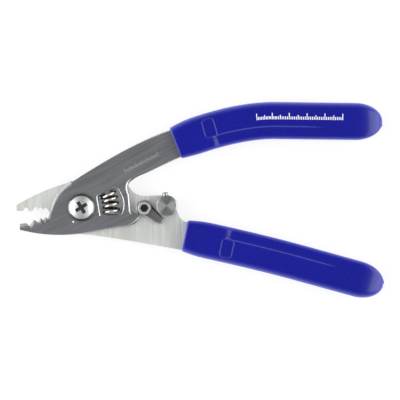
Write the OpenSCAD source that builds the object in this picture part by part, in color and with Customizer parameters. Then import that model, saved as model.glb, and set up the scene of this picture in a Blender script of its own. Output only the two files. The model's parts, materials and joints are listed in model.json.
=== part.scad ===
// Fibre stripper: two crossed steel plates on a pivot screw, notched and bevelled jaws,
// a coil spring that opens them, a swinging handle latch, a stop post with its set screw
// and a moulded grip on each handle. Units are millimetres, +Z is up.

/* [Main sizes] */
// Distance from the pivot to the far end of the handles' axes, along the tool
reach = 123.4; // [118:0.2:129]
// Distance between the far ends of the two handles' axes, across the tool
spread = 67.3; // [65:0.1:69.5]

/* [Plates] */
// Thickness of each plate
plate_t = 2; // [1.8:0.1:2.2]
// Running gap between the two plates
plate_gap = 0.1; // [0.06:0.02:0.14]
// Height of the chamfer on the plates' outer face
edge_h = 0.5; // [0.3:0.1:0.8]
// Width of the chamfer on the long edges
edge_w = 0.35; // [0.2:0.05:0.5]
// Width of the broad chamfer on the tail and the rear edge
broad_w = 1; // [0.6:0.1:1.2]

/* [Jaws] */
// Run of the bevel behind the cutting edges, over one plate's thickness
bevel_run = 1.9; // [1.4:0.1:2.1]
// Turn of the bevel's direction away from straight back
bevel_turn = 12; // [8:1:15]
// Height of the flat behind the cutting edges
land_h = 0.1; // [0.05:0.05:0.2]

/* [Pivot] */
// Diameter of the pivot screw's domed head
head_d = 11.1; // [10.5:0.1:11.8]
// Diameter of the pivot screw's shoulder
shoulder_d = 6; // [5:0.5:7]
// Diameter of the pivot screw's thread
thread_d = 5; // [4:0.5:5]
// Height of the pivot screw's head
head_h = 1.9; // [1.5:0.1:2.4]
// Thickness of the washer below the head
washer_t = 0.3; // [0.2:0.05:0.5]
// Size of the pivot nut across its flats
nut_af = 9; // [8:0.5:11]
// Radial running clearance of each turning or sliding fit
run_fit = 0.05; // [0.03:0.01:0.08]
// Radial clearance of each fixed fit
fixed_fit = 0.02; // [0.01:0.01:0.04]

/* [Spring] */
// Outer diameter of the coil
coil_d = 7.2; // [6.8:0.1:7.4]
// Diameter of the spring wire
wire_d = 0.95; // [0.8:0.05:1]
// Number of turns
turns = 4; // [3.5:0.5:4]

/* [Latch] */
// Distance from the latch screw to the end of the lever
latch_len = 9.3; // [8.5:0.1:9.5]
// Width of the lever
latch_w = 3.5; // [3:0.1:3.6]
// Diameter of the lever's eye
eye_d = 6.6; // [6.2:0.1:6.7]
// Thickness of the lever
latch_t = 1.8; // [1.4:0.1:2]
// Diameter of the latch screw's head
cap_d = 5.5; // [5:0.1:5.8]
// Height of the latch screw's head
cap_h = 2; // [1.6:0.1:3]

/* [Stop] */
// Diameter of the stop post
post_d = 8.4; // [8:0.1:8.8]
// Height of the stop post above the plates' parting plane
post_h = 4.2; // [3.6:0.1:4.6]
// Diameter of the stop screw
stop_d = 2.4; // [2:0.1:2.4]
// Length of the stop screw that stands out of the post
stop_proud = 1.35; // [1.3:0.05:1.4]
// Total length of the stop screw
stop_len = 5.5; // [5:0.5:6]

/* [Grips] */
// Width of the upper grip
upper_grip_w = 15.2; // [14.4:0.1:16]
// Width of the lower grip
lower_grip_w = 14.8; // [14:0.1:15.6]
// Thickness of both grips
grip_t = 10.2; // [9.8:0.1:11]
// Corner radius of the grips' cross-section
grip_round = 3; // [2:0.1:3.5]
// Clearance between a handle and its grip
grip_fit = 0.02; // [0.01:0.01:0.04]

/* [Hidden] */
$fn = 64;

// The pivot axis stands at the centre of this drawing. The parting plane of the plates is
// z = 0 here, and place() moves all to the middle of the object's box, on its rest plane.
nose = 26.7;
lower_further = 0.3;
box_middle = [(reach + lower_further - nose) / 2, 3.05];
rest_z = -grip_t / 2;

// Heights of the layers
front_z = plate_gap / 2;
front_top = front_z + plate_t;
back_top = -plate_gap / 2;
back_z = back_top - plate_t;
head_z = front_top + run_fit + washer_t;
nut_h = back_z - rest_z - 0.05;

// Places of the fasteners
latch_at = [25.8, -0.25];
post_at = [35, 0.7];
stop_dir = 97.5;
stop_z = back_top + 0.15 + stop_d / 2;
latch_dir = -40;

steel_dark = "#6a6c6e";
steel_light = "#cfd1cc";
steel_head = "#e2e3e4";
grip_blue = "#171e8c";

// ---------------------------------------------------------------- curves and outlines
function mix(a, b, t) = a + (b - a) * t;
function quad(a, b, c, t) = mix(mix(a, b, t), mix(b, c, t), t);
// Points of a curve from a to c, bent by b, without its first point
function curve(a, b, c, n = 8) = [for (i = [1 : n]) quad(a, b, c, i / n)];
// Points of an arc, both ends included
function arc(at, r, from, to, n = 12) =
    [for (i = [0 : n]) let (w = mix(from, to, i / n)) at + r * [cos(w), sin(w)]];
// A rounded notch from a to b, whose deepest point has the height y
function notch(a, b, y) = curve(a, [(a[0] + b[0]) / 2, 2 * y - (a[1] + b[1]) / 2], b, 6);
// The same points, each with the width of its chamfer as a third value
function edged(points, w) = [for (p = points) [p[0], p[1], w]];
// The same, with a chamfer that grows evenly along the stretch
function edged_ramp(points, from, to) = [for (i = [0 : len(points) - 1])
    [points[i][0], points[i][1], mix(from, to, i / (len(points) - 1))]];
// The same, with a chamfer that is widest in the middle of the stretch
function edged_wide(points, w, middle_w) = [for (i = [0 : len(points) - 1])
    [points[i][0], points[i][1], mix(w, middle_w, sin(180 * i / (len(points) - 1)))]];
// The same points without the first
function after_first(points) = [for (i = [1 : len(points) - 1]) points[i]];
function reversed(points) = [for (i = [len(points) - 1 : -1 : 0]) points[i]];
function unit(v) = v / norm(v);
function side(v) = [-v[1], v[0]];

// Point i of a counter-clockwise outline, moved inwards by w
function inset_point(p, i, w) = let (
    n = len(p),
    here = [p[i][0], p[i][1]],
    before = [p[(i + n - 1) % n][0], p[(i + n - 1) % n][1]],
    after = [p[(i + 1) % n][0], p[(i + 1) % n][1]],
    n1 = side(unit(here - before)),
    n2 = side(unit(after - here)))
    here + w * (n1 + n2) / (1 + n1 * n2);
function inset(p, w) = [for (i = [0 : len(p) - 1]) inset_point(p, i, w)];
function at_height(p, z) = [for (q = p) [q[0], q[1], z]];

// Solid that joins closed rings of equal length, from the lowest to the highest
module loft(rings) {
    n = len(rings[0]);
    m = len(rings);
    walls = [for (k = [0 : m - 2], i = [0 : n - 1]) let (j = (i + 1) % n)
        each [[k * n + j, k * n + i, (k + 1) * n + i], [k * n + j, (k + 1) * n + i, (k + 1) * n + j]]];
    polyhedron(
        points = [for (ring = rings) each ring],
        faces = concat([[for (i = [0 : n - 1]) i]],
            [[for (i = [n - 1 : -1 : 0]) (m - 1) * n + i]], walls));
}

// Flat plate on the floor z = 0
module plate_blank(p) { linear_extrude(plate_t) polygon(p); }

// Chamfer along a stretch of a plate's upper edge, with the plate on its left. Each point
// has the chamfer's width as a third value. The cut runs on a little past both ends.
cut_over = 0.4;
end_over = 0.27;
function edge_ring(run, i) = let (
    last = len(run) - 1,
    from = run[max(i - 1, 0)],
    to = run[min(i + 1, last)],
    along = unit([to[0] - from[0], to[1] - from[1]]),
    into = side(along) * run[i][2],
    wall = [run[i][0], run[i][1]] + along * (i == 0 ? -end_over : i == last ? end_over : 0),
    low = wall - into * cut_over,
    high = wall + into * (1 + cut_over),
    top = plate_t + edge_h * cut_over)
    [[low[0], low[1], plate_t - edge_h * (1 + cut_over)], [high[0], high[1], top], [low[0], low[1], top]];
module edge_cut(run) { loft([for (i = [0 : len(run) - 1]) edge_ring(run, i)]); }

// Window through such a plate, chamfered at its upper face
module window_cut(p, w) {
    loft([at_height(p, -1), at_height(p, plate_t - edge_h),
        at_height(inset(p, -w), plate_t), at_height(inset(p, -w), plate_t + 1)]);
}

// Cut of the given outline that goes straight up over the land and leans over above it
lean = atan(bevel_run / plate_t);
module bevel_cut(p, turn) {
    leaned = [for (q = p) [q[0] * cos(turn) + q[1] * sin(turn),
        (q[1] * cos(turn) - q[0] * sin(turn)) * cos(lean)]];
    translate([0, 0, -1]) linear_extrude(1 + land_h) polygon(p);
    translate([0, 0, land_h]) rotate([0, 0, turn]) rotate([lean, 0, 0]) translate([0, 0, -20])
        linear_extrude(40) polygon(leaned);
}

module bore(d, fit) { translate([0, 0, -3]) cylinder(d = d + 2 * fit, h = plate_t + 6); }

// ---------------------------------------------------------------- handles
// A handle's axis bends from its mouth to its middle, then runs straight to its end
spread_middle = 1.45;
upper_axis = [[38.5, 26.3], [62.5, 35.9], [80, 35.65], [reach, spread_middle + spread / 2]];
lower_axis = [[42.35, -11.6], [69, -17.2], [88, -22.35],
    [reach + lower_further, spread_middle - spread / 2]];
upper_mouth = 13.4;
lower_mouth = 12.9;
mouth_len = 9;
tip_len = 11;

function axis_point(a, s) = s < 1 ? quad(a[0], a[1], a[2], s) : mix(a[2], a[3], s - 1);
function axis_dir(a, s) = unit(s < 1 ? mix(a[1] - a[0], a[2] - a[1], s) : a[3] - a[2]);

// Outline of the tang that a grip covers
tang_from = 0.16;
tang_to = 1.45;
tang_steps = 9;
tang_start_w = 11;
tang_end_w = 9;
function tang_w(s) = mix(tang_start_w, tang_end_w, (s - tang_from) / (tang_to - tang_from));
function tang_side(a, sign) = [for (i = [0 : tang_steps])
    let (s = mix(tang_from, tang_to, i / tang_steps))
    axis_point(a, s) + sign * side(axis_dir(a, s)) * tang_w(s) / 2];
function tang_end(a) = let (d = axis_dir(a, tang_to), w = atan2(d[1], d[0]))
    arc(axis_point(a, tang_to), tang_end_w / 2, w - 75, w + 75, 10);
function tang(a) = concat(tang_side(a, -1), tang_end(a), reversed(tang_side(a, 1)));

upper_root_in = [[36, 18.6], [38.6, 19.8]];
upper_root_out = [[36.3, 31.7], [34, 30.9]];
lower_root_in = [[38, -16.9], [40.6, -17.4]];
lower_root_out = [[43.2, -5.9], [41.7, -5.5]];
upper_handle = concat(upper_root_in, tang(upper_axis), upper_root_out);
lower_handle = concat(lower_root_in, tang(lower_axis), lower_root_out);

// ---------------------------------------------------------------- front plate
lower_teeth = [[-26, -6.85], [-22.7, -6.4], [-21.4, -7.6], [-19.6, -5], [-17.6, -6.2], [-16.8, -4.3],
    [-15.7, -5.25], [-14.7, -3.9], [-13.8, -4.8], [-13.4, -3.6], [-12.75, -1.6]];
throat_top = [-4.4, 11];
throat = curve(lower_teeth[10], [-11, 7.3], throat_top, 10);
lower_jaw_gap = concat(lower_teeth, throat, [[-4.4, 16], [-32, 16], [-32, -6.85]]);

tail_from = [18.7, -7.5];
tail_to = [23.9, -3.7];
rear_from = [20.4, -1.2];
rear_to = [19.9, 5.2];
arch_end = [20.6, 11];
front_lower = concat(curve([-25.2, -9.15], [-9, -13.6], [9.7, -8.9], 14), [tail_from]);
front_tail = concat([tail_from], curve(tail_from, [23, -7], tail_to, 8));
front_rear = concat(curve([21.1, -2.25], [20.5, -2.1], rear_from, 4), [rear_to],
    curve(rear_to, [18, 9.4], arch_end, 8));
front_inner = concat([arch_end], curve(arch_end, [22.4, 12.6], [26.3, 14], 5), upper_root_in);
front_upper = concat(upper_root_out, curve(upper_root_out[1], [18, 24.9], [-3.6, 10.6], 12));
front_outline = concat([[-25.4, -5], [-25.2, -9.15]], front_lower, after_first(front_tail),
    [[23.65, -2.95], [21.1, -2.25]], front_rear, after_first(front_inner), tang(upper_axis), front_upper,
    [[-5.5, 11.3], [-9, 11.5], [-17, 4]]);

front_window = concat([[8, -2.9], [15.6, -2.55]], curve([15.6, -2.55], [16.3, -2.4], [16.5, -1.7], 3),
    curve([16.5, -1.7], [18.1, 2.7], [14.7, 7.3], 8), curve([14.7, 7.3], [14.3, 7.9], [13.5, 7.6], 3),
    [[7.3, 4.82]], curve([7.3, 4.82], [6.7, 4.6], [6.8, 3.9], 3));
window_edge_w = 0.7;
// Width of the chamfer where it fades out beside the jaw
fading_w = 0.05;

// Ends of the spring: a point on each seat and the way the seat faces
foot_at = [12.3, -2.33];
foot_face = [-0.06, 1];
head_at = [10.6, 6.3];
head_face = [0.41, -0.914];

// Tongue that holds an end of the spring
nub_w = 2.2;
nub_len = 1.2;
nub_root = 0.4;
module spring_nub(at, face) {
    translate(at) rotate(atan2(face[1], face[0])) translate([-nub_root, -nub_w / 2, 0])
        cube([nub_len + nub_root, nub_w, plate_t]);
}

module front_plate() {
    color(steel_dark) translate([0, 0, front_z]) {
        difference() {
            plate_blank(front_outline);
            bevel_cut(lower_jaw_gap, bevel_turn);
            edge_cut(edged_ramp(front_lower, fading_w, edge_w));
            edge_cut(edged_wide(front_tail, edge_w, broad_w));
            edge_cut(edged(front_rear, broad_w));
            edge_cut(edged(front_inner, edge_w));
            edge_cut(edged_ramp(front_upper, edge_w, fading_w));
            window_cut(front_window, window_edge_w);
            bore(shoulder_d, run_fit);
        }
        spring_nub(head_at, head_face);
    }
}

// ---------------------------------------------------------------- back plate
upper_teeth = concat([[-23.9, -1.45]], notch([-23.9, -1.45], [-21.7, -1.5], 0.05), [[-20.25, -1.5]],
    notch([-20.25, -1.5], [-17.8, -1], 0.15), notch([-17.8, -1], [-15.8, -1], 0),
    notch([-15.8, -1], [-13.7, -1.2], -0.2));
upper_jaw_gap = concat([[-32, -12], [-9, -12], [-11.8, -4], [-13, -2]], reversed(upper_teeth),
    [[-32, -1.5]]);

ear_r = post_d / 2 + 0.1;
ear_from = -12;
ear_to = 96;
jaw_foot = [-11, -4];
belly = [3.7, -11.2];
crown = [-4.5, 10.4];
neck = [28.3, 4.85];
back_window = [[7.8, -2.6], [16.9, -2.06], [17.6, 4.5], [14.4, 8.8], [6.5, 5.3]];
back_lower = concat(curve(jaw_foot, [-8, -11], belly, 8),
    curve(belly, [20, -13.5], lower_root_in[0], 4), [lower_root_in[1]]);
back_throat = concat([lower_root_out[0]], curve(lower_root_out[0], [40, -5.6],
    [post_at[0] + ear_r * cos(20), post_at[1] - ear_r * sin(20)], 8));
back_inner = concat([neck], curve(neck, [21.7, 4], [19.5, 8.6], 8));
back_upper = concat([[19.5, 8.6]], curve([19.5, 8.6], [12, 13.2], crown, 8),
    curve(crown, [-15, 7.7], [-25.8, 1.5], 8));
back_outline = concat([[-nose, jaw_foot[1]], jaw_foot], back_lower, tang(lower_axis), back_throat,
    arc(post_at, ear_r, ear_from, ear_to, 9), back_inner, after_first(back_upper), [[-nose, 0.9]]);

// The back plate is drawn with its outer face up and turned over into place
function flipped(p) = reversed([for (q = p) [q[0], -q[1]]]);
module turned_over() { translate([0, 0, back_top]) rotate([180, 0, 0]) children(); }

module back_plate() {
    color(steel_light) turned_over() {
        difference() {
            plate_blank(flipped(back_outline));
            bevel_cut(flipped(upper_jaw_gap), -bevel_turn);
            for (run = [back_lower, back_throat, back_inner, back_upper])
                edge_cut(edged(flipped(run), edge_w));
            window_cut(flipped(back_window), edge_w);
            bore(shoulder_d, fixed_fit);
            translate([latch_at[0], -latch_at[1], 0]) bore(latch_thread_d, fixed_fit);
            translate([post_at[0], -post_at[1], 0]) bore(post_shank_d, fixed_fit);
        }
        spring_nub([foot_at[0], -foot_at[1]], [foot_face[0], -foot_face[1]]);
    }
}

// ---------------------------------------------------------------- grips
// Distances from the mouth and the tip at which a grip's sections stand
tip_rings = 8;
last_ring_angle = 86;
function tip_ring(a, k) = 2 - tip_len * (1 - sin(last_ring_angle * k / tip_rings)) / norm(a[3] - a[2]);
function grip_stations(a) = concat([0, 0.04, 0.1, 0.18], [for (s = [0.28 : 0.09 : 1.01]) s],
    [1.2, 1.4, 1.6], [for (k = [0 : tip_rings]) tip_ring(a, k)]);
function tip_scale(a, s) = let (far = max(0, 1 - (2 - s) * norm(a[3] - a[2]) / tip_len))
    sqrt(1 - far * far);
function grip_w(a, s, mouth, w) = let (t = min(1, s * norm(a[2] - a[0]) / mouth_len))
    mix(mouth, w, t * (2 - t)) * tip_scale(a, s);

// Rounded rectangle across the axis, four points to a corner
function section(at, dir, half_w, half_t, r) = [for (q = [0 : 3], k = [0 : 3])
    let (w = 90 * q + 30 * k,
         x = (half_w - r) * (q == 0 || q == 3 ? 1 : -1) + r * cos(w),
         z = (half_t - r) * (q < 2 ? 1 : -1) + r * sin(w),
         p = at - side(dir) * x)
    [p[0], p[1], z]];
module grip_body(a, mouth, w) {
    loft([for (s = grip_stations(a)) let (k = tip_scale(a, s))
        reversed(section(axis_point(a, s), axis_dir(a, s), grip_w(a, s, mouth, w) / 2,
            grip_t / 2 * k, grip_round * k))]);
}
module tang_pocket(p, z) {
    translate([0, 0, z - grip_fit]) linear_extrude(plate_t + 2 * grip_fit) polygon(inset(p, -grip_fit));
}

module upper_grip() {
    color(grip_blue) difference() {
        grip_body(upper_axis, upper_mouth, upper_grip_w);
        tang_pocket(upper_handle, front_z);
    }
}
module lower_grip() {
    color(grip_blue) difference() {
        grip_body(lower_axis, lower_mouth, lower_grip_w);
        tang_pocket(lower_handle, back_z);
    }
}

// ---------------------------------------------------------------- pivot
// The dome is flatter than one that would end in a sharp rim
dome_flatter = 2;
dome_r = (head_d * head_d / 4 + head_h * head_h) / (2 * head_h) + dome_flatter;
cross_w = 1.5;
cross_len = 5.4;
cross_depth = 1.2;
cross_turn = 32;
washer_over = 0.4;
// How far stacked parts of one solid run into each other
joined = 0.01;
module pivot_screw() {
    color(steel_head) difference() {
        union() {
            translate([0, 0, head_z]) intersection() {
                cylinder(d = head_d, h = head_h);
                translate([0, 0, head_h - dome_r]) sphere(r = dome_r);
            }
            translate([0, 0, back_z]) cylinder(d = shoulder_d, h = head_z - back_z + joined);
            translate([0, 0, back_z - nut_h]) cylinder(d = thread_d, h = nut_h + joined);
        }
        for (turn = [cross_turn, cross_turn + 90])
            translate([0, 0, head_z + head_h]) rotate(turn)
                cube([cross_len, cross_w, 2 * cross_depth], center = true);
    }
}
module pivot_washer() {
    color(steel_head) translate([0, 0, head_z - washer_t]) difference() {
        cylinder(d = head_d + 2 * washer_over, h = washer_t);
        translate([0, 0, -1]) cylinder(d = shoulder_d + 2 * fixed_fit, h = washer_t + 2);
    }
}
module pivot_nut() {
    color(steel_head) translate([0, 0, back_z - nut_h]) difference() {
        cylinder(d = nut_af / cos(30), h = nut_h, $fn = 6);
        translate([0, 0, -1]) cylinder(d = thread_d + 2 * fixed_fit, h = nut_h + 2);
    }
}

// ---------------------------------------------------------------- return spring
ring_steps = 16;
ring_sides = 8;
seat_gap = 0.03;
spring_from = foot_at + unit(foot_face) * (wire_d / 2 + seat_gap);
spring_to = head_at + unit(head_face) * (wire_d / 2 + seat_gap);
spring_bend = [12, 3.2];
spring_r = (coil_d - wire_d) / 2;
coil_start_angle = 170;
// The end turns lie flat on their seats, so the rise starts and stops gently
flat_share = 0.12;
function rise(u) = u < flat_share ? u * u / (2 * flat_share * (1 - flat_share))
    : u > 1 - flat_share ? 1 - (1 - u) * (1 - u) / (2 * flat_share * (1 - flat_share))
    : (u - flat_share / 2) / (1 - flat_share);
function coil_point(u) = let (
    t = rise(u),
    p = quad(spring_from, spring_bend, spring_to, t),
    d = unit(mix(spring_bend - spring_from, spring_to - spring_bend, t)),
    w = 360 * turns * u + coil_start_angle,
    x = spring_r * cos(w))
    [p[0] + d[1] * x, p[1] - d[0] * x, -spring_r * sin(w)];
function coil_axis(u) = let (p = quad(spring_from, spring_bend, spring_to, rise(u))) [p[0], p[1], 0];
end_share = 0.002;
function wire_ring(u) = let (
    p = coil_point(u),
    along = unit(coil_point(u + end_share) - coil_point(u - end_share)),
    inward = unit(coil_axis(u) - p),
    across = unit(cross(along, inward)),
    out = unit(cross(across, along)))
    [for (i = [0 : ring_sides - 1]) let (w = 360 * i / ring_sides)
        p + (out * cos(w) + across * sin(w)) * wire_d / 2];
module return_spring() {
    count = ring_steps * turns;
    color(steel_head) loft([for (i = [0 : count])
        wire_ring(mix(end_share, 1 - end_share, i / count))]);
}

// ---------------------------------------------------------------- latch
latch_shoulder_d = 4;
latch_thread_d = 3;
latch_z = back_top + run_fit;
latch_washer_t = 0.3;
latch_washer_over = 0.25;
latch_head_z = latch_z + latch_t + run_fit + latch_washer_t;
socket_af = 3;
socket_depth = 1.4;
latch_edge = 0.4;
eye_open_angle = 45;
rim_chamfer = 0.3;
// Chamfered disc from z = 0 up
module chamfered(d, h) {
    cylinder(d = d, h = h - rim_chamfer);
    translate([0, 0, h - rim_chamfer]) cylinder(d1 = d, d2 = d - 2 * rim_chamfer, h = rim_chamfer);
}
// Lever outline about its own pivot, pointing along +X
latch_outline = concat(arc([0, 0], eye_d / 2, eye_open_angle, 360 - eye_open_angle, 20),
    [[latch_len - 2.2, -latch_w / 2], [latch_len, -latch_w / 2 + 0.9], [latch_len - 0.6, latch_w / 2]]);
module latch_lever() {
    color("#56585a") translate([latch_at[0], latch_at[1], latch_z]) rotate(latch_dir) difference() {
        loft([at_height(latch_outline, 0), at_height(latch_outline, latch_t - latch_edge),
            at_height(inset(latch_outline, latch_edge), latch_t)]);
        translate([0, 0, -1]) cylinder(d = latch_shoulder_d + 2 * run_fit, h = latch_t + 2);
    }
}
module latch_washer() {
    color(steel_head) translate([latch_at[0], latch_at[1], latch_head_z - latch_washer_t]) difference() {
        cylinder(d = cap_d + 2 * latch_washer_over, h = latch_washer_t);
        translate([0, 0, -1]) cylinder(d = latch_shoulder_d + 2 * fixed_fit, h = latch_washer_t + 2);
    }
}
module latch_screw() {
    color(steel_head) translate([latch_at[0], latch_at[1], 0]) difference() {
        union() {
            translate([0, 0, latch_head_z]) chamfered(cap_d, cap_h);
            translate([0, 0, back_top])
                cylinder(d = latch_shoulder_d, h = latch_head_z - back_top + joined);
            translate([0, 0, back_z]) cylinder(d = latch_thread_d, h = plate_t + joined);
        }
        translate([0, 0, latch_head_z + cap_h - socket_depth])
            cylinder(d = socket_af / cos(30), h = 2 * socket_depth, $fn = 6);
    }
}

// ---------------------------------------------------------------- stop
post_shank_d = 5;
rivet_d = 6.6;
rivet_h = 0.6;
mark_d = 2;
mark_w = 0.35;
mark_depth = 0.15;
mark_up = 2.1;
dimple_d = 0.6;
stop_socket_af = 1.3;
stop_socket_depth = 1.2;
stop_reach = post_d / 2 + stop_proud;
module along_stop() {
    translate([post_at[0], post_at[1], stop_z]) rotate(stop_dir - 90) rotate([-90, 0, 0]) children();
}
module stop_post() {
    color(steel_light) difference() {
        translate([post_at[0], post_at[1], 0]) union() {
            translate([0, 0, back_top]) chamfered(post_d, post_h - back_top);
            translate([0, 0, back_z - joined]) cylinder(d = post_shank_d, h = plate_t + 2 * joined);
            translate([0, 0, back_z - rivet_h]) cylinder(d1 = post_shank_d, d2 = rivet_d, h = rivet_h);
        }
        along_stop() translate([0, 0, -post_d]) cylinder(d = stop_d + 2 * run_fit, h = 2 * post_d);
        translate([post_at[0], post_at[1], post_h - dimple_d / 2])
            cylinder(d1 = 0, d2 = 2 * dimple_d, h = dimple_d);
        translate([post_at[0], post_at[1] + mark_up, post_h - mark_depth]) difference() {
            cylinder(d = mark_d, h = 1);
            translate([0, 0, -1]) cylinder(d = mark_d - 2 * mark_w, h = 3);
        }
    }
}
module stop_screw() {
    color(steel_dark) along_stop() translate([0, 0, stop_reach - stop_len]) difference() {
        chamfered(stop_d, stop_len);
        translate([0, 0, stop_len - stop_socket_depth])
            cylinder(d = stop_socket_af, h = 2 * stop_socket_depth, $fn = 6);
    }
}

// ---------------------------------------------------------------- placing
module place() { translate([-box_middle[0], -box_middle[1], -rest_z]) children(); }

place() front_plate();
place() back_plate();
place() upper_grip();
place() lower_grip();
place() pivot_screw();
place() pivot_washer();
place() pivot_nut();
place() return_spring();
place() latch_lever();
place() latch_washer();
place() latch_screw();
place() stop_post();
place() stop_screw();
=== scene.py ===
"""Dresses the packed fibre stripper: moulded grips, coil spring, printed scales and materials."""
import json
import math

import bpy
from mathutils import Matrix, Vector


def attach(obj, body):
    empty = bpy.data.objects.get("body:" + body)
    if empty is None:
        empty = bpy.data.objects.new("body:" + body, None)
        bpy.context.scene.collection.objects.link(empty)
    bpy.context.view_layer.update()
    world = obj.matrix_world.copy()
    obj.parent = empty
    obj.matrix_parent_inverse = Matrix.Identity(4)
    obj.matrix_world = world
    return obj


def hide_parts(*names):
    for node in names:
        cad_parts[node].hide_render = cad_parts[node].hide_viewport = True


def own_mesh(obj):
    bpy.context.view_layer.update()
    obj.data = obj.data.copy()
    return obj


MM = 0.001
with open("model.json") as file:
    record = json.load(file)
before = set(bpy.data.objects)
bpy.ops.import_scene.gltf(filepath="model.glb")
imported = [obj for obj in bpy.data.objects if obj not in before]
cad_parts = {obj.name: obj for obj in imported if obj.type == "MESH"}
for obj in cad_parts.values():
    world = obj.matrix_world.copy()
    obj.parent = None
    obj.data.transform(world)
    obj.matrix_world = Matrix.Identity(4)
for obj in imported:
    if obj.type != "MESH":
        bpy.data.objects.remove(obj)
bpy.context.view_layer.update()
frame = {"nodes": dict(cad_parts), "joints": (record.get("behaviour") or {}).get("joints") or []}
JOINTS = {joint["name"]: joint for joint in frame["joints"]}
PIVOT = Vector(JOINTS["handle_pivot"]["pos_m"])
# Places in the drawing, in mm from the pivot axis
POST = (35, 0.7)
WINDOW_MIDDLE = (12, 2.4)


def at(x, y, z=0.0):
    """A point of the part's drawing, in mm from the pivot axis and the plates' parting plane."""
    return PIVOT + Vector((x, y, z)) * MM


# ------------------------------------------------------------------ meshes
def add_piece(name, points, faces, body, material, smooth=True):
    """Makes a mesh piece that rides on a body."""
    mesh = bpy.data.meshes.new(name)
    mesh.from_pydata([tuple(p) for p in points], [], faces)
    mesh.validate()
    mesh.polygons.foreach_set("use_smooth", [smooth] * len(mesh.polygons))
    mesh.materials.append(material)
    piece = bpy.data.objects.new(name, mesh)
    bpy.context.scene.collection.objects.link(piece)
    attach(piece, body)
    return piece


def join_rings(rings):
    """Points and faces of the closed skin over rings that all have the same number of points."""
    count = len(rings[0])
    points = [p for ring in rings for p in ring]
    faces = []
    for k in range(len(rings) - 1):
        for i in range(count):
            j = (i + 1) % count
            faces.append((k * count + i, k * count + j, (k + 1) * count + j, (k + 1) * count + i))
    faces.append(tuple(range(count - 1, -1, -1)))
    faces.append(tuple((len(rings) - 1) * count + i for i in range(count)))
    return points, faces


def mix(a, b, t):
    return a + (b - a) * t


def smooth_step(a, b, x):
    t = min(1.0, max(0.0, (x - a) / (b - a)))
    return t * t * (3 - 2 * t)


def quad(a, b, c, t):
    return mix(mix(a, b, t), mix(b, c, t), t)


# ------------------------------------------------------------------ materials
def new_material(name):
    material = bpy.data.materials.new(name)
    material.use_nodes = True
    tree = material.node_tree
    return material, tree, tree.nodes["Principled BSDF"]


def node(tree, kind, **inputs):
    """Adds a node and sets its sockets: by value, or by link where the value is a socket."""
    made = tree.nodes.new(kind)
    for key, value in inputs.items():
        socket = made.inputs[key]
        if isinstance(value, bpy.types.NodeSocket):
            tree.links.new(value, socket)
        else:
            socket.default_value = value
    return made


def ramp(tree, factor, low, high, low_at=0.3, high_at=0.7):
    """A number that goes from low to high as factor crosses the stretch between the two places."""
    made = tree.nodes.new("ShaderNodeMapRange")
    tree.links.new(factor, made.inputs["Value"])
    values = {"From Min": low_at, "From Max": high_at, "To Min": low, "To Max": high}
    for socket, value in values.items():
        made.inputs[socket].default_value = value
    return made.outputs["Result"]


def tinted(tree, colour, factor):
    """The colour, made lighter or darker by a number."""
    made = tree.nodes.new("ShaderNodeVectorMath")
    made.operation = "SCALE"
    made.inputs[0].default_value = colour
    tree.links.new(factor, made.inputs["Scale"])
    return made.outputs["Vector"]


def streaks(tree, turn, across, along):
    """Brush marks that run at the angle turn, in degrees from +X; scales are per metre."""
    where = tree.nodes.new("ShaderNodeTexCoord")
    turned = node(tree, "ShaderNodeMapping", Vector=where.outputs["Object"])
    turned.inputs["Rotation"].default_value = (0, 0, -math.radians(turn))
    turned.vector_type = "POINT"
    stretched = node(tree, "ShaderNodeMapping", Vector=turned.outputs["Vector"])
    stretched.inputs["Scale"].default_value = (along, across, across)
    noise = node(tree, "ShaderNodeTexNoise", Vector=stretched.outputs["Vector"], Scale=1.0, Detail=3.0)
    return noise.outputs["Fac"]


def blotches(tree, scale, detail=2.0):
    where = tree.nodes.new("ShaderNodeTexCoord")
    noise = node(tree, "ShaderNodeTexNoise", Vector=where.outputs["Object"], Scale=scale, Detail=detail)
    return noise.outputs["Fac"]


def painted_light_by_height(tree, painted_light_stops):
    """Painted light and shade by height above the floor: (height in mm, tone) pairs from low to high."""
    where = tree.nodes.new("ShaderNodeTexCoord")
    parts = node(tree, "ShaderNodeSeparateXYZ", Vector=where.outputs["Object"])
    low, high = painted_light_stops[0][0], painted_light_stops[-1][0]
    level = ramp(tree, parts.outputs["Z"], 0, 1, low * MM, high * MM)
    tones = tree.nodes.new("ShaderNodeValToRGB")
    tree.links.new(level, tones.inputs["Fac"])
    while len(tones.color_ramp.elements) < len(painted_light_stops):
        tones.color_ramp.elements.new(0.5)
    for element, (height, tone) in zip(tones.color_ramp.elements, painted_light_stops):
        element.position = (height - low) / (high - low)
        element.color = (tone, tone, tone, 1)
    return tones.outputs["Color"]


def product(tree, a, b):
    made = tree.nodes.new("ShaderNodeMath")
    made.operation = "MULTIPLY"
    tree.links.new(a, made.inputs[0])
    tree.links.new(b, made.inputs[1])
    return made.outputs["Value"]


def bumped(tree, shader, height, strength, distance):
    bump = node(tree, "ShaderNodeBump", Height=height, Strength=strength, Distance=distance)
    tree.links.new(bump.outputs["Normal"], shader.inputs["Normal"])


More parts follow.
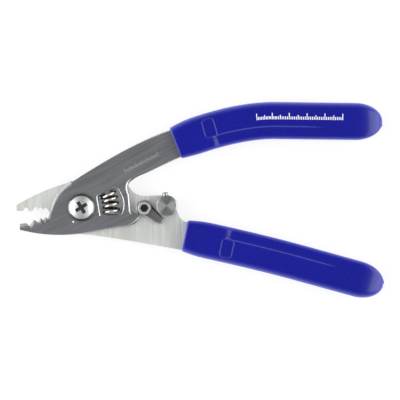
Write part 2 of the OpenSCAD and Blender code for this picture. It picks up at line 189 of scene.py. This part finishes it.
def brushed(name, colour, turn, contrast, roughness, metallic=1.0, painted_light_stops=()):
    """Brushed sheet steel: fine and broad streaks along one direction and a slow change of tone; height
    stops, where given, paint light and shade by height.
    """
    material, tree, shader = new_material(name)
    fine_marks = streaks(tree, turn, 2600, 60)
    broad_marks = streaks(tree, turn, 700, 25)
    tone = product(tree, ramp(tree, fine_marks, 1 - contrast, 1 + contrast),
                   ramp(tree, broad_marks, 1 - contrast, 1 + contrast))
    tone = product(tree, tone, ramp(tree, blotches(tree, 45), 0.94, 1.06))
    # Painted light and shade: a tone by height, for highlights on edges and shade low down.
    if painted_light_stops:
        tone = product(tree, tone, painted_light_by_height(tree, painted_light_stops))
    tree.links.new(tinted(tree, colour, tone), shader.inputs["Base Color"])
    tree.links.new(ramp(tree, fine_marks, roughness - 0.06, roughness + 0.08), shader.inputs["Roughness"])
    shader.inputs["Metallic"].default_value = metallic
    bumped(tree, shader, fine_marks, 0.12, 0.00004)
    return material


def plated(name, colour, roughness, wear=0.06, painted_light_stops=()):
    """Bright plated or polished steel with faint tarnish; height stops, where given, paint light and shade
    by height.
    """
    material, tree, shader = new_material(name)
    tone = ramp(tree, blotches(tree, 380, 4), 1 - wear, 1 + wear)
    # Painted light and shade: a tone by height, for shade in recesses and on low parts.
    if painted_light_stops:
        tone = product(tree, tone, painted_light_by_height(tree, painted_light_stops))
    tree.links.new(tinted(tree, colour, tone), shader.inputs["Base Color"])
    tree.links.new(ramp(tree, blotches(tree, 900, 3), roughness - 0.05, roughness + 0.08),
                   shader.inputs["Roughness"])
    shader.inputs["Metallic"].default_value = 1.0
    bumped(tree, shader, blotches(tree, 5200, 2), 0.04, 0.00003)
    return material


def vinyl(name, colour, painted_slope_sheen):
    """Glossy moulded vinyl: a deep colour with a paler painted highlight where the surface leans, faintly
    rippled.
    """
    material, tree, shader = new_material(name)
    tone = ramp(tree, blotches(tree, 60, 2), 0.93, 1.07)
    shape = tree.nodes.new("ShaderNodeNewGeometry")
    painted_sheen_tilt = node(tree, "ShaderNodeSeparateXYZ", Vector=shape.outputs["Normal"])
    # Painted highlight: where the normal leans from straight up, the colour turns to the paler highlight
    # colour.
    blend = tree.nodes.new("ShaderNodeMix")
    blend.data_type = "RGBA"
    tree.links.new(ramp(tree, painted_sheen_tilt.outputs["Z"], 1.0, 0.0, 0.5, 0.97), blend.inputs["Factor"])
    tree.links.new(tinted(tree, colour, tone), blend.inputs[6])
    blend.inputs[7].default_value = painted_slope_sheen
    tree.links.new(blend.outputs[2], shader.inputs["Base Color"])
    tree.links.new(ramp(tree, blotches(tree, 700, 3), 0.2, 0.28), shader.inputs["Roughness"])
    shader.inputs["Specular IOR Level"].default_value = 0.3
    bumped(tree, shader, blotches(tree, 260, 3), 0.05, 0.0002)
    return material


def turned(name, colour, centre, roughness):
    """Face turned on a lathe: fine rings about the centre, and two light and two dark wedges of painted
    reflection.
    """
    material, tree, shader = new_material(name)
    where = tree.nodes.new("ShaderNodeTexCoord")
    moved = node(tree, "ShaderNodeMapping", Vector=where.outputs["Object"])
    moved.inputs["Location"].default_value = tuple(-centre)
    # Painted reflection: the wedges round the centre stand in for the sheen of the turned face.
    painted_sheen_bearing = tree.nodes.new("ShaderNodeTexGradient")
    painted_sheen_bearing.gradient_type = "RADIAL"
    tree.links.new(moved.outputs["Vector"], painted_sheen_bearing.inputs["Vector"])
    angle = tree.nodes.new("ShaderNodeMath")
    angle.operation = "MULTIPLY"
    angle.inputs[1].default_value = 4 * math.pi
    tree.links.new(painted_sheen_bearing.outputs["Fac"], angle.inputs[0])
    painted_sheen_wave = tree.nodes.new("ShaderNodeMath")
    painted_sheen_wave.operation = "COSINE"
    tree.links.new(angle.outputs["Value"], painted_sheen_wave.inputs[0])
    tone = ramp(tree, painted_sheen_wave.outputs["Value"], 0.72, 1.5, -0.5, 0.7)
    rings = tree.nodes.new("ShaderNodeTexWave")
    rings.wave_type = "RINGS"
    rings.rings_direction = "Z"
    rings.inputs["Scale"].default_value = 900
    rings.inputs["Distortion"].default_value = 0.6
    tree.links.new(moved.outputs["Vector"], rings.inputs["Vector"])
    tone = product(tree, tone, ramp(tree, rings.outputs["Fac"], 0.93, 1.07, 0, 1))
    tree.links.new(tinted(tree, colour, tone), shader.inputs["Base Color"])
    tree.links.new(ramp(tree, blotches(tree, 900, 3), roughness - 0.05, roughness + 0.08),
                   shader.inputs["Roughness"])
    shader.inputs["Metallic"].default_value = 1.0
    bumped(tree, shader, rings.outputs["Fac"], 0.05, 0.00003)
    return material


def printed(name, colour):
    """Ink printed on a smooth surface, a little uneven."""
    material, tree, shader = new_material(name)
    tree.links.new(tinted(tree, colour, ramp(tree, blotches(tree, 2400, 3), 0.94, 1.03)),
                   shader.inputs["Base Color"])
    shader.inputs["Roughness"].default_value = 0.5
    return material


# Brush directions in degrees from +X, and the height of the front plate's face in mm
BRUSH_FRONT = 27
BRUSH_BACK = 90
TOP = 7.15
# Front plate: its dark base paints the shade that its lengthwise brushing takes under the side lights. Its
# height stops paint a bright band on the edge walls and jaw bevels, then a dark line and a bright line at
# the top chamfer.
SHADED_STEEL = brushed("dark_steel", (0.2, 0.205, 0.215), BRUSH_FRONT, 0.09, 0.42,
                     painted_light_stops=((5.15, 2.4), (TOP - 0.6, 2.4), (TOP - 0.5, 0.5), (TOP - 0.28, 0.7),
                            (TOP - 0.2, 3.4), (TOP - 0.02, 1.0)))
# Back plate: its height stops paint shade on its walls below its top face.
LIGHT_STEEL = brushed("light_steel", (0.6, 0.61, 0.585), BRUSH_BACK, 0.09, 0.4, metallic=0.6,
                      painted_light_stops=((3.05, 0.45), (5.0, 0.6), (5.04, 1.0)))
# Pivot screw: its height stops paint deep shade in the cross recess and low on the head.
SCREW_STEEL = plated("screw_steel", (0.86, 0.87, 0.88), 0.2,
                     painted_light_stops=((7.4, 0.02), (8.25, 0.12), (8.45, 0.9), (9.4, 1.0)))
# Latch screw: its height stops paint deep shade in the hex socket and low on the head.
SOCKET_STEEL = plated("socket_steel", (0.86, 0.87, 0.88), 0.2,
                      painted_light_stops=((7.2, 0.25), (8.0, 0.02), (9.0, 0.03), (9.2, 1.0)))
BRIGHT_STEEL = plated("bright_steel", (0.62, 0.63, 0.64), 0.25)
RING_STEEL = plated("ring_steel", (0.2, 0.2, 0.21), 0.35)
# Coil spring: its height stops paint shade on its low, rear strands.
SPRING_STEEL = plated("spring_steel", (0.75, 0.72, 0.68), 0.18, 0.1,
                      painted_light_stops=((3.5, 0.04), (6.6, 0.06), (7.6, 0.5), (8.5, 1.0)))
# Latch lever: its height stops paint shade low down and a highlight band just under its top face.
LEVER_STEEL = brushed("lever_steel", (0.22, 0.22, 0.225), -40, 0.08, 0.35,
                      painted_light_stops=((5.1, 0.4), (6.4, 0.9), (6.7, 2.4), (6.88, 1.0)))
TURNED_SHEEN_STEEL = turned("turned_steel", (0.36, 0.365, 0.37), at(*POST), 0.3)
# Grip vinyl: deep blue, with a paler painted highlight on its sloping sides.
GRIP_VINYL = vinyl("grip_vinyl", (0.002, 0.0035, 0.2), (0.07, 0.08, 0.42, 1))
WHITE_INK_AND_GLINT = printed("white_ink_and_painted_glint", (0.83, 0.85, 0.88))
ETCHED = printed("etched_marks", (0.3, 0.3, 0.3))

CAD_FINISH = {
    "front_plate": SHADED_STEEL, "back_plate": LIGHT_STEEL, "pivot_screw": SCREW_STEEL,
    "pivot_washer": RING_STEEL, "pivot_nut": BRIGHT_STEEL, "latch_lever": LEVER_STEEL,
    "latch_washer": RING_STEEL, "latch_screw": SOCKET_STEEL, "stop_post": TURNED_SHEEN_STEEL,
    "stop_screw": TURNED_SHEEN_STEEL, "return_spring": SPRING_STEEL, "upper_grip": GRIP_VINYL,
    "lower_grip": GRIP_VINYL,
}


def finish_cad():
    for name, material in CAD_FINISH.items():
        for slot in frame["nodes"][name].material_slots:
            slot.material = material


# ------------------------------------------------------------------ grips
UPPER_AXIS = [Vector(p) for p in ((38.5, 26.3), (62.5, 35.9), (80, 35.65), (123.4, 35.1))]
LOWER_AXIS = [Vector(p) for p in ((42.35, -11.6), (69, -17.2), (88, -22.35), (123.7, -32.2))]
HALF_T = 5.1
TIP_LEN = 11
MOUTH_LEN = 9
OUTER_ROUND = 3.0
INNER_ROUND = 2.0
LEDGE_DEPTH = 0.9
# Width of the thumb ledge as a share of half the grip's width
LEDGE_SHARE = 5.0 / 7.5


def axis_point(axis, s):
    return quad(axis[0], axis[1], axis[2], s) if s < 1 else mix(axis[2], axis[3], s - 1)


def axis_dir(axis, s):
    along = mix(axis[1] - axis[0], axis[2] - axis[1], s) if s < 1 else axis[3] - axis[2]
    return along.normalized()


def tip_scale(axis, s):
    far = max(0.0, 1 - (2 - s) * (axis[3] - axis[2]).length / TIP_LEN)
    return math.sqrt(max(0.0, 1 - far * far))


def ledge_share(s):
    """How deep the thumb ledge is at a station: it starts by the mouth and fades toward the end."""
    return smooth_step(0.31, 0.36, s) * (1 - smooth_step(1.15, 1.55, s))


def grip_profile(half_w, half_t, round_out, round_in, ledge):
    """Points round a grip's section, as (towards the outer side, up)."""
    steps = 7
    arc = [math.radians(90 * k / steps) for k in range(steps + 1)]
    ring = [(half_w - round_out * (1 - math.cos(a)), half_t - round_out * (1 - math.sin(a))) for a in arc]
    step_at = -half_w + LEDGE_SHARE * half_w
    low = half_t - LEDGE_DEPTH * ledge
    ring += [(0.8, half_t), (step_at + 0.45, half_t), (step_at + 0.2, mix(half_t, low, 0.12)),
             (step_at, mix(half_t, low, 0.5)), (step_at - 0.15, low - 0.15 * ledge),
             (step_at - 0.4, low - 0.25 * ledge), (step_at - 0.8, low - 0.2 * ledge),
             (step_at - 1.1, low), (step_at - 1.4, low)]
    ring += [(-half_w + round_in * (1 - math.cos(a)), low - round_in * (1 - math.sin(a)))
             for a in reversed(arc)]
    ring += [(-half_w + round_in * (1 - math.cos(a)), -half_t + round_in * (1 - math.sin(a))) for a in arc]
    ring += [(0.0, -half_t)]
    ring += [(half_w - round_out * (1 - math.cos(a)), -half_t + round_out * (1 - math.sin(a)))
             for a in reversed(arc)]
    return ring


def grip_stations(axis):
    """Where a grip's sections stand: every few mm, and closer round its end."""
    length = (axis[3] - axis[2]).length
    body = [0.012, 0.03] + [0.05 + 0.0225 * k for k in range(43)] + [1.05 + 0.05 * k for k in range(14)]
    tip = [2 - TIP_LEN * (1 - math.sin(math.radians(86 * k / 12))) / length for k in range(13)]
    return [s for s in body if s < tip[0] - 0.02] + tip


def make_grip(name, node_name, body, axis, mouth_w, full_w, outer):
    """Moulded grip round a handle. outer is +1 where its outer side is on the left of its axis."""
    bend = (axis[2] - axis[0]).length

    def ring(s, at_s, inset):
        k = tip_scale(axis, s)
        t = min(1.0, s * bend / MOUTH_LEN)
        half_w = mix(mouth_w, full_w, t * (2 - t)) / 2 * k - inset
        half_t = HALF_T * k - inset
        profile = grip_profile(half_w, half_t, OUTER_ROUND * k, INNER_ROUND * k, ledge_share(s) * k)
        middle, along = axis_point(axis, at_s), axis_dir(axis, at_s)
        out = Vector((-along.y, along.x)) * outer
        made = [at(*(middle + out * u), z) for u, z in profile]
        return made if outer > 0 else list(reversed(made))

    lip = [ring(0.0, 0.0, 0.9), ring(0.0, 0.0, 0.5), ring(0.0, 0.003, 0.15)]
    points, faces = join_rings(lip + [ring(s, s, 0.0) for s in grip_stations(axis)])
    grip = add_piece(name, points, faces, body, GRIP_VINYL)
    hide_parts(node_name)


def make_frame_rib(name, body, axis, s, offset, size, outer):
    """Raised rib round a rounded rectangle on a grip's face."""
    middle, along = axis_point(axis, s), axis_dir(axis, s)
    out = Vector((-along.y, along.x)) * outer
    middle = middle + out * offset
    width, height = size
    corner, rib = 1.1, 0.26
    path = []
    for quarter in range(4):
        sx = 1 if quarter in (0, 3) else -1
        sy = 1 if quarter < 2 else -1
        for k in range(6):
            a = math.radians(90 * quarter + 18 * k)
            path.append(Vector((sx * (width / 2 - corner) + corner * math.cos(a),
                                sy * (height / 2 - corner) + corner * math.sin(a))))
    points, sides, count = [], 8, len(path)
    for i, p in enumerate(path):
        ahead = (path[(i + 1) % count] - path[i - 1]).normalized()
        away = Vector((ahead.y, -ahead.x))
        for k in range(sides):
            a = math.radians(45 * k)
            q = p + away * rib * math.cos(a)
            points.append(at(*(middle + along * q.x + out * q.y), HALF_T + 0.04 + rib * math.sin(a)))
    faces = []
    for i in range(count):
        here, there = i * sides, (i + 1) % count * sides
        for k in range(sides):
            j = (k + 1) % sides
            faces.append((here + k, here + j, there + j, there + k))
    add_piece(name, points, faces, body, GRIP_VINYL)


# ------------------------------------------------------------------ printed and etched scales
def make_scale(name, body, material, place_of, along_of, lengths, width, top):
    """Row of graduation marks of the given lengths, in mm; mark i stands at place_of(i)."""
    points, faces = [], []
    for i, length in enumerate(lengths):
        foot, along = place_of(i), along_of(i)
        out = Vector((-along.y, along.x))
        for a, b in ((-0.5, 0), (0.5, 0), (0.5, 1), (-0.5, 1)):
            points.append(at(*(foot + along * a * width + out * b * length), top))
        faces.append(tuple(range(len(points) - 4, len(points))))
    add_piece(name, points, faces, body, material, smooth=False)


def mark_length(i, short, middle, long):
    return long if i % 10 == 0 else middle if i % 5 == 0 else short


def make_marks():
    """Plain graduations: white ink on the upper grip, etched ones on the front plate, and a punch mark
    there painted white as a glint.
    """
    start, end = 0.78, 1.62
    count = 51

    def grip_dir(i):
        return axis_dir(UPPER_AXIS, mix(start, end, i / (count - 1)))

    def grip_at(i):
        d = grip_dir(i)
        return axis_point(UPPER_AXIS, mix(start, end, i / (count - 1))) + Vector((-d.y, d.x)) * 0.4

    lengths = [mark_length(i, 1.2, 1.8, 2.6) for i in range(count)]
    make_scale("grip_scale", "front_half", WHITE_INK_AND_GLINT, grip_at, grip_dir, lengths,
               0.3, HALF_T + 0.02)
    turn = math.radians(BRUSH_FRONT)
    along = Vector((math.cos(turn), math.sin(turn)))
    etched_from, pitch = Vector((18.2, 14.4)), 0.5
    lengths = [mark_length(i, 0.9, 1.4, 2.0) for i in range(31)]
    make_scale("etched_scale", "front_half", ETCHED,
               lambda i: etched_from + along * pitch * i, lambda i: along, lengths, 0.14, 2.055)
    # Punch mark: a small white dome, a painted glint in place of the dimple's reflection.
    punch_x, punch_y = -3.3, -5.9
    rim = [(math.cos(math.radians(30 * k)), math.sin(math.radians(30 * k))) for k in range(12)]
    rings = [[at(punch_x + r * x, punch_y + r * y, z) for x, y in rim]
             for r, z in ((0.36, 2.03), (0.34, 2.09), (0.2, 2.13), (0.05, 2.14))]
    points, faces = join_rings(rings)
    add_piece("punch_mark_painted_glint", points, faces, "front_half", WHITE_INK_AND_GLINT)


# ------------------------------------------------------------------ spring
SPRING_FOOT = Vector((12.3, -2.33))
SPRING_HEAD = Vector((10.6, 6.3))
SPRING_BEND = Vector((12, 3.2))
FOOT_FACE = Vector((-0.06, 1)).normalized()
HEAD_FACE = Vector((0.41, -0.914)).normalized()
WIRE = 1.02
COIL = 7.25
TURNS = 4


def make_spring():
    """Coil with closed ends, finer than the solid that it stands for."""
    seat_gap = 0.03
    start = SPRING_FOOT + FOOT_FACE * (WIRE / 2 + seat_gap)
    end = SPRING_HEAD + HEAD_FACE * (WIRE / 2 + seat_gap)
    flat = 0.12
    radius = (COIL - WIRE) / 2

    def rise(u):
        if u < flat:
            return u * u / (2 * flat * (1 - flat))
        if u > 1 - flat:
            return 1 - (1 - u) ** 2 / (2 * flat * (1 - flat))
        return (u - flat / 2) / (1 - flat)

    def coil(u):
        t = rise(u)
        p = quad(start, SPRING_BEND, end, t)
        d = mix(SPRING_BEND - start, end - SPRING_BEND, t).normalized()
        w = math.radians(360 * TURNS * u + 170)
        x = radius * math.cos(w)
        return Vector((p.x + d.y * x, p.y - d.x * x, -radius * math.sin(w))), Vector((p.x, p.y, 0))

    rings, steps = [], 48 * TURNS
    for i in range(steps + 1):
        u = mix(0.002, 0.998, i / steps)
        p, centre = coil(u)
        along = (coil(u + 0.001)[0] - coil(u - 0.001)[0]).normalized()
        across = along.cross(centre - p).normalized()
        out = across.cross(along)
        rings.append([at(*(p + (out * math.cos(a) + across * math.sin(a)) * WIRE / 2))
                      for a in (math.radians(30 * k) for k in range(12))])
    points, faces = join_rings(rings)
    spring = add_piece("coil_spring", points, faces, "back_half", SPRING_STEEL)
    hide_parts("return_spring")
    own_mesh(spring)


# ------------------------------------------------------------------ stage
def make_floor():
    """White to the camera, but for a disc below the spring's window that takes real shade."""
    size = 3.0
    corners = [(-size, -size, 0), (size, -size, 0), (size, size, 0), (-size, size, 0)]
    mesh = bpy.data.meshes.new("floor")
    mesh.from_pydata(corners, [], [(0, 1, 2, 3)])
    floor = bpy.data.objects.new("floor", mesh)
    floor.location.z = -0.0001
    bpy.context.scene.collection.objects.link(floor)
    material, tree, shader = new_material("floor")
    shader.inputs["Base Color"].default_value = (0.92, 0.92, 0.92, 1)
    shader.inputs["Roughness"].default_value = 0.9
    shader.inputs["Specular IOR Level"].default_value = 0.0
    glow = node(tree, "ShaderNodeEmission", Color=(1, 1, 1, 1), Strength=1.0)
    path = tree.nodes.new("ShaderNodeLightPath")
    where = tree.nodes.new("ShaderNodeTexCoord")
    off = tree.nodes.new("ShaderNodeVectorMath")
    off.operation = "DISTANCE"
    tree.links.new(where.outputs["Object"], off.inputs[0])
    off.inputs[1].default_value = tuple(at(*WINDOW_MIDDLE))[:2] + (0,)
    clear = ramp(tree, off.outputs["Value"], 0.0, 0.8, 0.007, 0.009)
    share = tree.nodes.new("ShaderNodeMath")
    share.operation = "MULTIPLY"
    tree.links.new(clear, share.inputs[1])
    tree.links.new(path.outputs["Is Camera Ray"], share.inputs[0])
    blend = tree.nodes.new("ShaderNodeMixShader")
    tree.links.new(share.outputs["Value"], blend.inputs["Fac"])
    tree.links.new(shader.outputs["BSDF"], blend.inputs[1])
    tree.links.new(glow.outputs["Emission"], blend.inputs[2])
    tree.links.new(blend.outputs["Shader"], tree.nodes["Material Output"].inputs["Surface"])
    mesh.materials.append(material)


def add_lamp(name, place, side, power):
    """Square soft box that faces the middle of the object."""
    lamp = bpy.data.lights.new(name, "AREA")
    lamp.shape = "RECTANGLE"
    lamp.size = lamp.size_y = side
    lamp.energy = power
    lit = bpy.data.objects.new(name, lamp)
    bpy.context.scene.collection.objects.link(lit)
    lit.location = place
    lit.rotation_euler = (-Vector(place)).to_track_quat("-Z", "Y").to_euler()
    lit.visible_camera = False


def make_light():
    """Two soft boxes, left and right, over a room that is dim overhead and pale round the sides."""
    world = bpy.data.worlds.new("studio")
    bpy.context.scene.world = world
    world.use_nodes = True
    tree = world.node_tree
    back = tree.nodes["Background"]
    where = tree.nodes.new("ShaderNodeTexCoord")
    parts = node(tree, "ShaderNodeSeparateXYZ", Vector=where.outputs["Generated"])
    sideways = tree.nodes.new("ShaderNodeMath")
    sideways.operation = "ABSOLUTE"
    tree.links.new(parts.outputs["X"], sideways.inputs[0])
    level = ramp(tree, sideways.outputs["Value"], 0.42, 1.25, 0.15, 0.8)
    path = tree.nodes.new("ShaderNodeLightPath")
    seen = tree.nodes.new("ShaderNodeMix")
    tree.links.new(path.outputs["Is Camera Ray"], seen.inputs["Factor"])
    tree.links.new(level, seen.inputs["A"])
    seen.inputs["B"].default_value = 1.0
    tree.links.new(seen.outputs["Result"], back.inputs["Strength"])
    back.inputs["Color"].default_value = (1, 1, 1, 1)
    add_lamp("left_box", (-0.9, 0.0, 0.55), 0.9, 9)
    add_lamp("right_box", (0.9, 0.0, 0.55), 0.9, 9)


def make_camera():
    """Straight above the middle of the object, from far enough away for almost no perspective."""
    distance, width, sensor = 1.2, 0.164, 36.0
    camera = bpy.data.cameras.new("camera")
    camera.sensor_width = sensor
    camera.lens = sensor * distance / width
    camera.clip_start, camera.clip_end = 0.05, 10
    seen = bpy.data.objects.new("camera", camera)
    bpy.context.scene.collection.objects.link(seen)
    seen.location = (0.0001, 0.0, distance + 0.006)
    bpy.context.scene.camera = seen


# ------------------------------------------------------------------ build
finish_cad()
make_grip("upper_grip_skin", "upper_grip", "front_half", UPPER_AXIS, 13.4, 15.2, 1)
make_grip("lower_grip_skin", "lower_grip", "back_half", LOWER_AXIS, 12.9, 14.8, -1)
make_frame_rib("upper_grip_frame", "front_half", UPPER_AXIS, 0.31, 1.2, (4.9, 7.4), 1)
make_frame_rib("lower_grip_frame", "back_half", LOWER_AXIS, 0.345, 1.4, (4.9, 7.2), -1)
make_spring()
make_marks()
make_floor()
make_light()
make_camera()
bpy.context.scene.view_settings.view_transform = "Standard"
